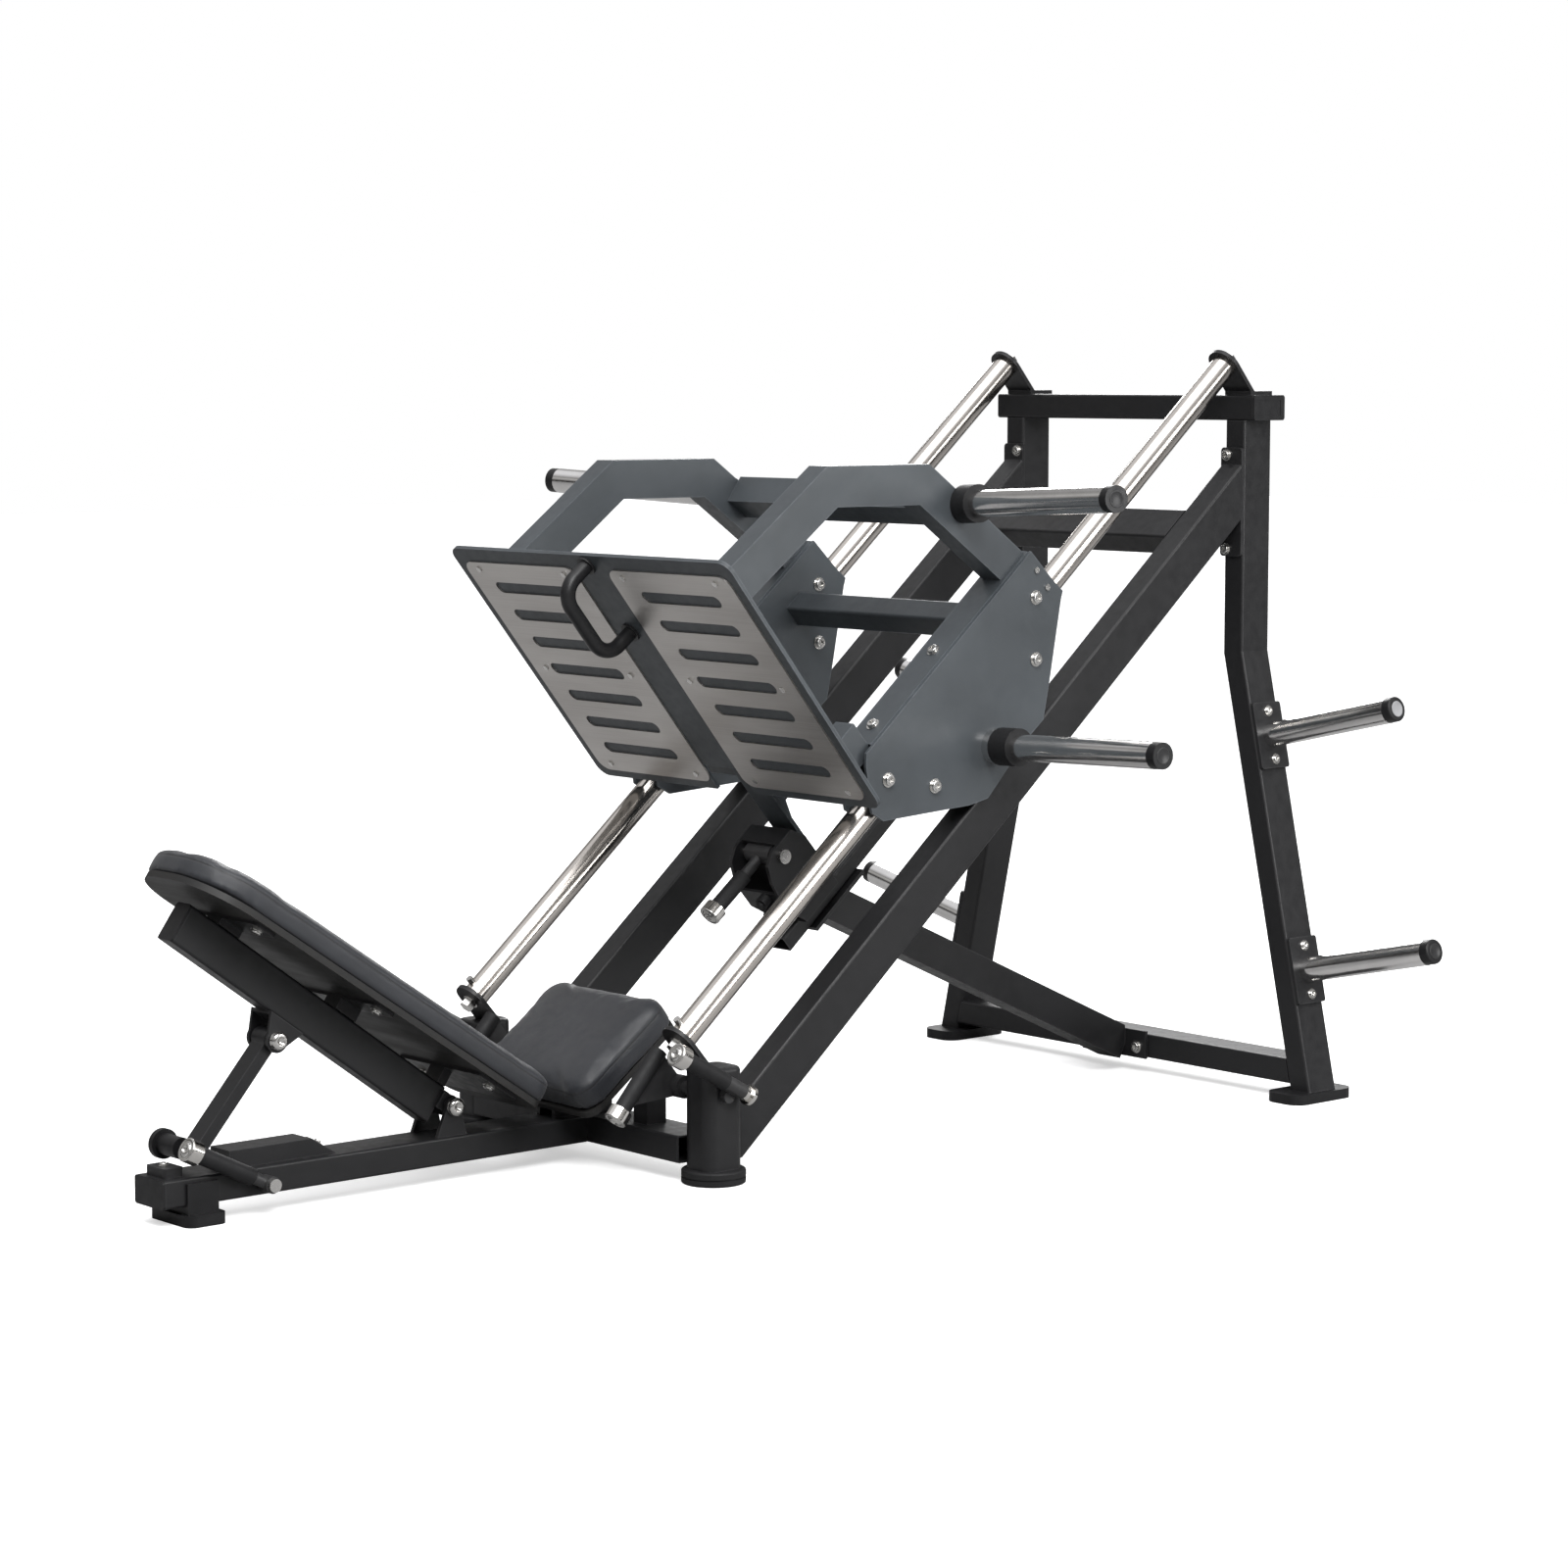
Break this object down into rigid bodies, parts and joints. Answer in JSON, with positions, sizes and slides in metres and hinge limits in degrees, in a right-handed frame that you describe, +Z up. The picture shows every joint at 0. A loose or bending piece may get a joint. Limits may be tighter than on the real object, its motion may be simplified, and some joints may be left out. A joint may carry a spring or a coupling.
{
  "type": "leg press machine",
  "caption": "Inclined plate-loaded leg press: sliding foot-plate carriage on chrome rods, adjustable back cushion, seat, hand levers, weight horns and storage horns.",
  "frame": {"origin": "on the floor at the middle of the machine's length and width", "axes": "+X from the backrest end towards the tall rear frame, +Y to the left of the seated user, who faces +X, and +Z up"},
  "size_m": [2.47, 1.6398, 1.4908],
  "materials": {
    "black_coat": "satin powder coat",
    "grey_coat": "satin powder coat",
    "polished_chrome": "polished",
    "bearing_steel": "ground",
    "brushed_stainless": "brushed",
    "black_plastic": "moulded",
    "black_rubber": "matt",
    "black_vinyl": "grained upholstery vinyl",
    "plywood": "stained black"
  },
  "bodies": {
    "frame": {"base_rail": "black_coat", "tube_end_caps": "black_plastic", "seat_end_foot": "black_rubber", "front_cross_tube": "black_coat", "front_posts": "black_coat", "front_feet": "black_rubber", "main_rails": "black_coat", "rail_cross_tube": "black_coat", "rear_legs": "black_coat", "rear_feet": "black_rubber", "top_crossbar": "black_coat", "rod_end_plates": "black_coat", "guide_rods": "polished_chrome", "rear_crossbar": "black_coat", "centre_brace": "black_coat", "stop_channel": "black_coat", "stop_bracket": "black_coat", "stop_bumpers": "black_rubber", "frame_bolts": "polished_chrome", "storage_plates": "black_coat", "storage_horns": "polished_chrome", "storage_horn_caps": "black_plastic", "seat_support": "black_coat", "seat_board": "plywood", "seat_pad": "black_vinyl", "back_pivot_ears": "black_coat", "pivot_bolts": "polished_chrome", "adjuster_track": "black_plastic", "adjuster_block": "black_coat"},
    "carriage": {"side_plates": "grey_coat", "box_covers": "grey_coat", "bearing_housings": "grey_coat", "linear_bushes": "bearing_steel", "arches": "grey_coat", "horn_cross_tube": "grey_coat", "mid_cross_tube": "grey_coat", "lower_cross_tube": "grey_coat", "carriage_bolts": "polished_chrome", "foot_plate": "grey_coat", "treads": "brushed_stainless", "lift_handle": "black_rubber", "carriage_horns": "polished_chrome", "horn_collars": "black_rubber", "carriage_horn_caps": "black_plastic"},
    "backrest": {"back_tube": "black_coat", "back_tube_cap": "black_plastic", "pad_brackets": "black_coat", "back_bolts": "polished_chrome", "back_board": "plywood", "back_pad": "black_vinyl"},
    "strut": {"back_strut": "black_coat", "strut_knob": "black_plastic"},
    "release_lever": {"adjust_lever": "polished_chrome", "adjust_grip": "black_rubber"},
    "hand_lever_left_body": {"hand_lever_left": "black_coat", "hand_grips_left": "black_rubber"},
    "hand_lever_right_body": {"hand_lever_right": "black_coat", "hand_grips_right": "black_rubber"},
    "stop_lever_body": {"stop_lever": "polished_chrome", "stop_grip": "black_rubber"}
  },
  "joints": [
    {"name": "carriage_slide", "type": "slide", "parent": "frame", "child": "carriage", "axis": [0.7589, 0, 0.6512], "range_m": [0, 0.6]},
    {"name": "backrest_tilt", "type": "hinge", "parent": "frame", "child": "backrest", "pos_m": [-0.625, 0, 0.138], "axis": [0, 1, 0], "range_deg": [-3, 3]},
    {"name": "strut_swing", "type": "hinge", "parent": "backrest", "child": "strut", "pos_m": [-0.992, 0, 0.297], "axis": [0, 1, 0], "range_deg": [-10.5, 10.5]},
    {"name": "release_lever_turn", "type": "hinge", "parent": "frame", "child": "release_lever", "pos_m": [-1.032, -0.06, 0.055], "axis": [0, 1, 0], "range_deg": [0, 18]},
    {"name": "hand_lever_left_turn", "type": "hinge", "parent": "frame", "child": "hand_lever_left_body", "pos_m": [-0.278, 0.3, 0.163], "axis": [0, 1, 0], "range_deg": [0, 25]},
    {"name": "hand_lever_right_turn", "type": "hinge", "parent": "frame", "child": "hand_lever_right_body", "pos_m": [-0.278, -0.3, 0.163], "axis": [0, 1, 0], "range_deg": [0, 25]},
    {"name": "stop_lever_turn", "type": "hinge", "parent": "frame", "child": "stop_lever_body", "pos_m": [0.13954, 0, 0.52872], "axis": [0, 1, 0], "range_deg": [0, 22]}
  ],
  "couplings": [
    {"joint": "strut_swing", "follows": "backrest_tilt", "ratio": -3.37}
  ]
}
